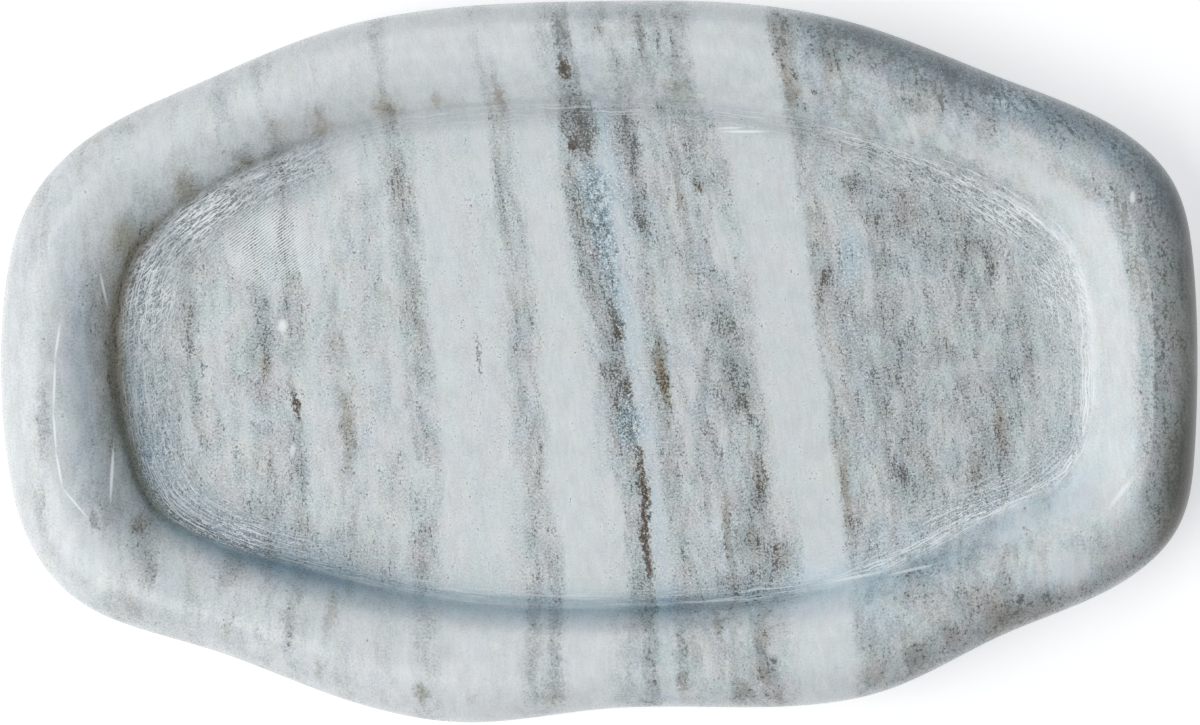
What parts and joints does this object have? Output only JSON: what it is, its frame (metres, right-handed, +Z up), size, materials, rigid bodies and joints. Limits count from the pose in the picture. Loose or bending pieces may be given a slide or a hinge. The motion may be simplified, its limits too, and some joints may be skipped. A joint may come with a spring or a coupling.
{
  "type": "oval marble tray",
  "caption": "Shallow oval marble tray: one carved stone with a thick rounded rim and a flat basin, standing on stick-on felt pads.",
  "frame": {"origin": "on the surface that the tray stands on, under the middle of its bounding box", "axes": "+X along the tray's length, towards the end with the gentler basin wall; +Y across it, towards the long side that bulges evenly; +Z up out of the basin"},
  "size_m": [0.3, 0.181, 0.0308],
  "materials": {
    "marble": "honed, with a softly polished rim",
    "felt": "pressed felt"
  },
  "bodies": {
    "root": {"stone": "marble", "felt_pad_front_left": "felt", "felt_pad_front_right": "felt", "felt_pad_back_left": "felt", "felt_pad_back_right": "felt"}
  },
  "joints": []
}
